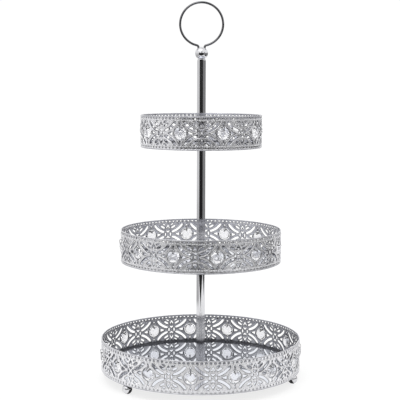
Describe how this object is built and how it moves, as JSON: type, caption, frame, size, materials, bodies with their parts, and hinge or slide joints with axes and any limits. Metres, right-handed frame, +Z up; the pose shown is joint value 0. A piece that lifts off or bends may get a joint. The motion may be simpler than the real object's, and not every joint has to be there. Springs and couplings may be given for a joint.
{
  "type": "tiered cake stand",
  "caption": "Tiered serving stand: round mirror-floored trays with pierced metal bands hung with crystals, on a central pole with ball feet and a ring handle.",
  "frame": {"origin": "on the surface the stand rests on, under the axis of the pole", "axes": "+Z up along the pole; -Y is the front, from which the ring handle is seen as a full circle; +X is to the right"},
  "size_m": [0.303, 0.3043, 0.5634],
  "materials": {
    "silver_band": "silver-plated pierced strip, satin",
    "chrome": "polished chrome plate",
    "mirror_plate": "silvered glass with a bevelled edge",
    "crystal": "clear cut glass",
    "sheet_steel": "plain sheet steel",
    "zinc_fastener": "zinc-plated steel"
  },
  "bodies": {
    "stand": {"foot_1": "chrome", "foot_2": "chrome", "foot_3": "chrome", "bottom_band": "silver_band", "bottom_pan": "sheet_steel", "bottom_mirror": "mirror_plate", "lower_pole_tube": "chrome", "middle_pole_tube": "chrome", "upper_pole_tube": "chrome", "middle_tray_stud": "zinc_fastener", "top_tray_stud": "zinc_fastener", "base_bolt": "zinc_fastener", "base_washer": "zinc_fastener"},
    "middle_tray": {"middle_band": "silver_band", "middle_pan": "sheet_steel", "middle_mirror": "mirror_plate"},
    "top_tray": {"top_band": "silver_band", "top_pan": "sheet_steel", "top_mirror": "mirror_plate"},
    "finial_collar": {"finial_collar": "chrome"},
    "handle": {"finial_ball": "chrome", "finial_stud": "zinc_fastener", "ring_handle": "chrome"},
    "bottom_crystal_01": {"bottom_crystal_01": "crystal"},
    "bottom_crystal_02": {"bottom_crystal_02": "crystal"},
    "bottom_crystal_03": {"bottom_crystal_03": "crystal"},
    "bottom_crystal_04": {"bottom_crystal_04": "crystal"},
    "bottom_crystal_05": {"bottom_crystal_05": "crystal"},
    "bottom_crystal_06": {"bottom_crystal_06": "crystal"},
    "bottom_crystal_07": {"bottom_crystal_07": "crystal"},
    "bottom_crystal_08": {"bottom_crystal_08": "crystal"},
    "bottom_crystal_09": {"bottom_crystal_09": "crystal"},
    "bottom_crystal_10": {"bottom_crystal_10": "crystal"},
    "bottom_crystal_11": {"bottom_crystal_11": "crystal"},
    "bottom_crystal_12": {"bottom_crystal_12": "crystal"},
    "bottom_crystal_13": {"bottom_crystal_13": "crystal"},
    "bottom_crystal_14": {"bottom_crystal_14": "crystal"},
    "bottom_crystal_15": {"bottom_crystal_15": "crystal"},
    "middle_crystal_01": {"middle_crystal_01": "crystal"},
    "middle_crystal_02": {"middle_crystal_02": "crystal"},
    "middle_crystal_03": {"middle_crystal_03": "crystal"},
    "middle_crystal_04": {"middle_crystal_04": "crystal"},
    "middle_crystal_05": {"middle_crystal_05": "crystal"},
    "middle_crystal_06": {"middle_crystal_06": "crystal"},
    "middle_crystal_07": {"middle_crystal_07": "crystal"},
    "middle_crystal_08": {"middle_crystal_08": "crystal"},
    "middle_crystal_09": {"middle_crystal_09": "crystal"},
    "middle_crystal_10": {"middle_crystal_10": "crystal"},
    "middle_crystal_11": {"middle_crystal_11": "crystal"},
    "middle_crystal_12": {"middle_crystal_12": "crystal"},
    "top_crystal_01": {"top_crystal_01": "crystal"},
    "top_crystal_02": {"top_crystal_02": "crystal"},
    "top_crystal_03": {"top_crystal_03": "crystal"},
    "top_crystal_04": {"top_crystal_04": "crystal"},
    "top_crystal_05": {"top_crystal_05": "crystal"},
    "top_crystal_06": {"top_crystal_06": "crystal"},
    "top_crystal_07": {"top_crystal_07": "crystal"},
    "top_crystal_08": {"top_crystal_08": "crystal"},
    "top_crystal_09": {"top_crystal_09": "crystal"}
  },
  "joints": [
    {"name": "middle_tray_swivel", "type": "hinge", "parent": "stand", "child": "middle_tray", "pos_m": [0, 0, 0.18], "axis": [0, 0, 1], "continuous": true},
    {"name": "top_tray_swivel", "type": "hinge", "parent": "stand", "child": "top_tray", "pos_m": [0, 0, 0.351], "axis": [0, 0, 1], "continuous": true},
    {"name": "handle_lift", "type": "slide", "parent": "stand", "child": "finial_collar", "axis": [0, 0, 1], "range_m": [0, 0.0101]},
    {"name": "handle_turn", "type": "hinge", "parent": "finial_collar", "child": "handle", "pos_m": [0, 0, 0.4793], "axis": [0, 0, 1], "range_deg": [0, 3600]},
    {"name": "bottom_crystal_01_swing", "type": "hinge", "parent": "stand", "child": "bottom_crystal_01", "pos_m": [-0.01744, 0.14848, 0.04905], "axis": [0.9932, 0.1167, 0], "range_deg": [-30, 30]},
    {"name": "bottom_crystal_02_swing", "type": "hinge", "parent": "stand", "child": "bottom_crystal_02", "pos_m": [-0.07633, 0.12855, 0.04905], "axis": [0.8599, 0.5105, 0], "range_deg": [-30, 30]},
    {"name": "bottom_crystal_03_swing", "type": "hinge", "parent": "stand", "child": "bottom_crystal_03", "pos_m": [-0.12201, 0.08639, 0.04905], "axis": [0.5779, 0.8161, 0], "range_deg": [-30, 30]},
    {"name": "bottom_crystal_04_swing", "type": "hinge", "parent": "stand", "child": "bottom_crystal_04", "pos_m": [-0.1466, 0.02929, 0.04905], "axis": [0.1959, 0.9806, 0], "range_deg": [-30, 30]},
    {"name": "bottom_crystal_05_swing", "type": "hinge", "parent": "stand", "child": "bottom_crystal_05", "pos_m": [-0.14584, -0.03287, 0.04905], "axis": [-0.2198, 0.9755, 0], "range_deg": [-30, 30]},
    {"name": "bottom_crystal_06_swing", "type": "hinge", "parent": "stand", "child": "bottom_crystal_06", "pos_m": [-0.11986, -0.08934, 0.04905], "axis": [-0.5976, 0.8018, 0], "range_deg": [-30, 30]},
    {"name": "bottom_crystal_07_swing", "type": "hinge", "parent": "stand", "child": "bottom_crystal_07", "pos_m": [-0.07316, -0.13037, 0.04905], "axis": [-0.8721, 0.4894, 0], "range_deg": [-30, 30]},
    {"name": "bottom_crystal_08_swing", "type": "hinge", "parent": "stand", "child": "bottom_crystal_08", "pos_m": [-0.01381, -0.14886, 0.04905], "axis": [-0.9957, 0.0924, 0], "range_deg": [-30, 30]},
    {"name": "bottom_crystal_09_swing", "type": "hinge", "parent": "stand", "child": "bottom_crystal_09", "pos_m": [0.04793, -0.14161, 0.04905], "axis": [-0.9472, -0.3206, 0], "range_deg": [-30, 30]},
    {"name": "bottom_crystal_10_swing", "type": "hinge", "parent": "stand", "child": "bottom_crystal_10", "pos_m": [0.10139, -0.10987, 0.04905], "axis": [-0.7349, -0.6782, 0], "range_deg": [-30, 30]},
    {"name": "bottom_crystal_11_swing", "type": "hinge", "parent": "stand", "child": "bottom_crystal_11", "pos_m": [0.13731, -0.05913, 0.04905], "axis": [-0.3955, -0.9184, 0], "range_deg": [-30, 30]},
    {"name": "bottom_crystal_12_swing", "type": "hinge", "parent": "stand", "child": "bottom_crystal_12", "pos_m": [0.14949, 0.00183, 0.04905], "axis": [0.0122, -0.9999, 0], "range_deg": [-30, 30]},
    {"name": "bottom_crystal_13_swing", "type": "hinge", "parent": "stand", "child": "bottom_crystal_13", "pos_m": [0.13582, 0.06247, 0.04905], "axis": [0.4179, -0.9085, 0], "range_deg": [-30, 30]},
    {"name": "bottom_crystal_14_swing", "type": "hinge", "parent": "stand", "child": "bottom_crystal_14", "pos_m": [0.09867, 0.11231, 0.04905], "axis": [0.7513, -0.66, 0], "range_deg": [-30, 30]},
    {"name": "bottom_crystal_15_swing", "type": "hinge", "parent": "stand", "child": "bottom_crystal_15", "pos_m": [0.04446, 0.14274, 0.04905], "axis": [0.9548, -0.2974, 0], "range_deg": [-30, 30]},
    {"name": "middle_crystal_01_swing", "type": "hinge", "parent": "middle_tray", "child": "middle_crystal_01", "pos_m": [0.11722, 0.02321, 0.21305], "axis": [0.1942, -0.981, 0], "range_deg": [-30, 30]},
    {"name": "middle_crystal_02_swing", "type": "hinge", "parent": "middle_tray", "child": "middle_crystal_02", "pos_m": [0.08991, 0.07871, 0.21305], "axis": [0.6587, -0.7524, 0], "range_deg": [-30, 30]},
    {"name": "middle_crystal_03_swing", "type": "hinge", "parent": "middle_tray", "child": "middle_crystal_03", "pos_m": [0.03851, 0.11313, 0.21305], "axis": [0.9466, -0.3223, 0], "range_deg": [-30, 30]},
    {"name": "middle_crystal_04_swing", "type": "hinge", "parent": "middle_tray", "child": "middle_crystal_04", "pos_m": [-0.02321, 0.11722, 0.21305], "axis": [0.981, 0.1942, 0], "range_deg": [-30, 30]},
    {"name": "middle_crystal_05_swing", "type": "hinge", "parent": "middle_tray", "child": "middle_crystal_05", "pos_m": [-0.07871, 0.08991, 0.21305], "axis": [0.7524, 0.6587, 0], "range_deg": [-30, 30]},
    {"name": "middle_crystal_06_swing", "type": "hinge", "parent": "middle_tray", "child": "middle_crystal_06", "pos_m": [-0.11313, 0.03851, 0.21305], "axis": [0.3223, 0.9466, 0], "range_deg": [-30, 30]},
    {"name": "middle_crystal_07_swing", "type": "hinge", "parent": "middle_tray", "child": "middle_crystal_07", "pos_m": [-0.11722, -0.02321, 0.21305], "axis": [-0.1942, 0.981, 0], "range_deg": [-30, 30]},
    {"name": "middle_crystal_08_swing", "type": "hinge", "parent": "middle_tray", "child": "middle_crystal_08", "pos_m": [-0.08991, -0.07871, 0.21305], "axis": [-0.6587, 0.7524, 0], "range_deg": [-30, 30]},
    {"name": "middle_crystal_09_swing", "type": "hinge", "parent": "middle_tray", "child": "middle_crystal_09", "pos_m": [-0.03851, -0.11313, 0.21305], "axis": [-0.9466, 0.3223, 0], "range_deg": [-30, 30]},
    {"name": "middle_crystal_10_swing", "type": "hinge", "parent": "middle_tray", "child": "middle_crystal_10", "pos_m": [0.02321, -0.11722, 0.21305], "axis": [-0.981, -0.1942, 0], "range_deg": [-30, 30]},
    {"name": "middle_crystal_11_swing", "type": "hinge", "parent": "middle_tray", "child": "middle_crystal_11", "pos_m": [0.07871, -0.08991, 0.21305], "axis": [-0.7524, -0.6587, 0], "range_deg": [-30, 30]},
    {"name": "middle_crystal_12_swing", "type": "hinge", "parent": "middle_tray", "child": "middle_crystal_12", "pos_m": [0.11313, -0.03851, 0.21305], "axis": [-0.3223, -0.9466, 0], "range_deg": [-30, 30]},
    {"name": "top_crystal_01_swing", "type": "hinge", "parent": "top_tray", "child": "top_crystal_01", "pos_m": [0.088, 0.01631, 0.38405], "axis": [0.1822, -0.9833, 0], "range_deg": [-30, 30]},
    {"name": "top_crystal_02_swing", "type": "hinge", "parent": "top_tray", "child": "top_crystal_02", "pos_m": [0.05693, 0.06906, 0.38405], "axis": [0.7716, -0.6361, 0], "range_deg": [-30, 30]},
    {"name": "top_crystal_03_swing", "type": "hinge", "parent": "top_tray", "child": "top_crystal_03", "pos_m": [-0.00078, 0.0895, 0.38405], "axis": [1, 0.0087, 0], "range_deg": [-30, 30]},
    {"name": "top_crystal_04_swing", "type": "hinge", "parent": "top_tray", "child": "top_crystal_04", "pos_m": [-0.05813, 0.06806, 0.38405], "axis": [0.7604, 0.6494, 0], "range_deg": [-30, 30]},
    {"name": "top_crystal_05_swing", "type": "hinge", "parent": "top_tray", "child": "top_crystal_05", "pos_m": [-0.08827, 0.01477, 0.38405], "axis": [0.165, 0.9863, 0], "range_deg": [-30, 30]},
    {"name": "top_crystal_06_swing", "type": "hinge", "parent": "top_tray", "child": "top_crystal_06", "pos_m": [-0.07712, -0.04543, 0.38405], "axis": [-0.5075, 0.8616, 0], "range_deg": [-30, 30]},
    {"name": "top_crystal_07_swing", "type": "hinge", "parent": "top_tray", "child": "top_crystal_07", "pos_m": [-0.02988, -0.08437, 0.38405], "axis": [-0.9426, 0.3338, 0], "range_deg": [-30, 30]},
    {"name": "top_crystal_08_swing", "type": "hinge", "parent": "top_tray", "child": "top_crystal_08", "pos_m": [0.03134, -0.08383, 0.38405], "axis": [-0.9367, -0.3502, 0], "range_deg": [-30, 30]},
    {"name": "top_crystal_09_swing", "type": "hinge", "parent": "top_tray", "child": "top_crystal_09", "pos_m": [0.0779, -0.04407, 0.38405], "axis": [-0.4924, -0.8704, 0], "range_deg": [-30, 30]}
  ],
  "couplings": [
    {"joint": "handle_lift", "follows": "handle_turn", "m_per_rad": 0.00015915}
  ]
}
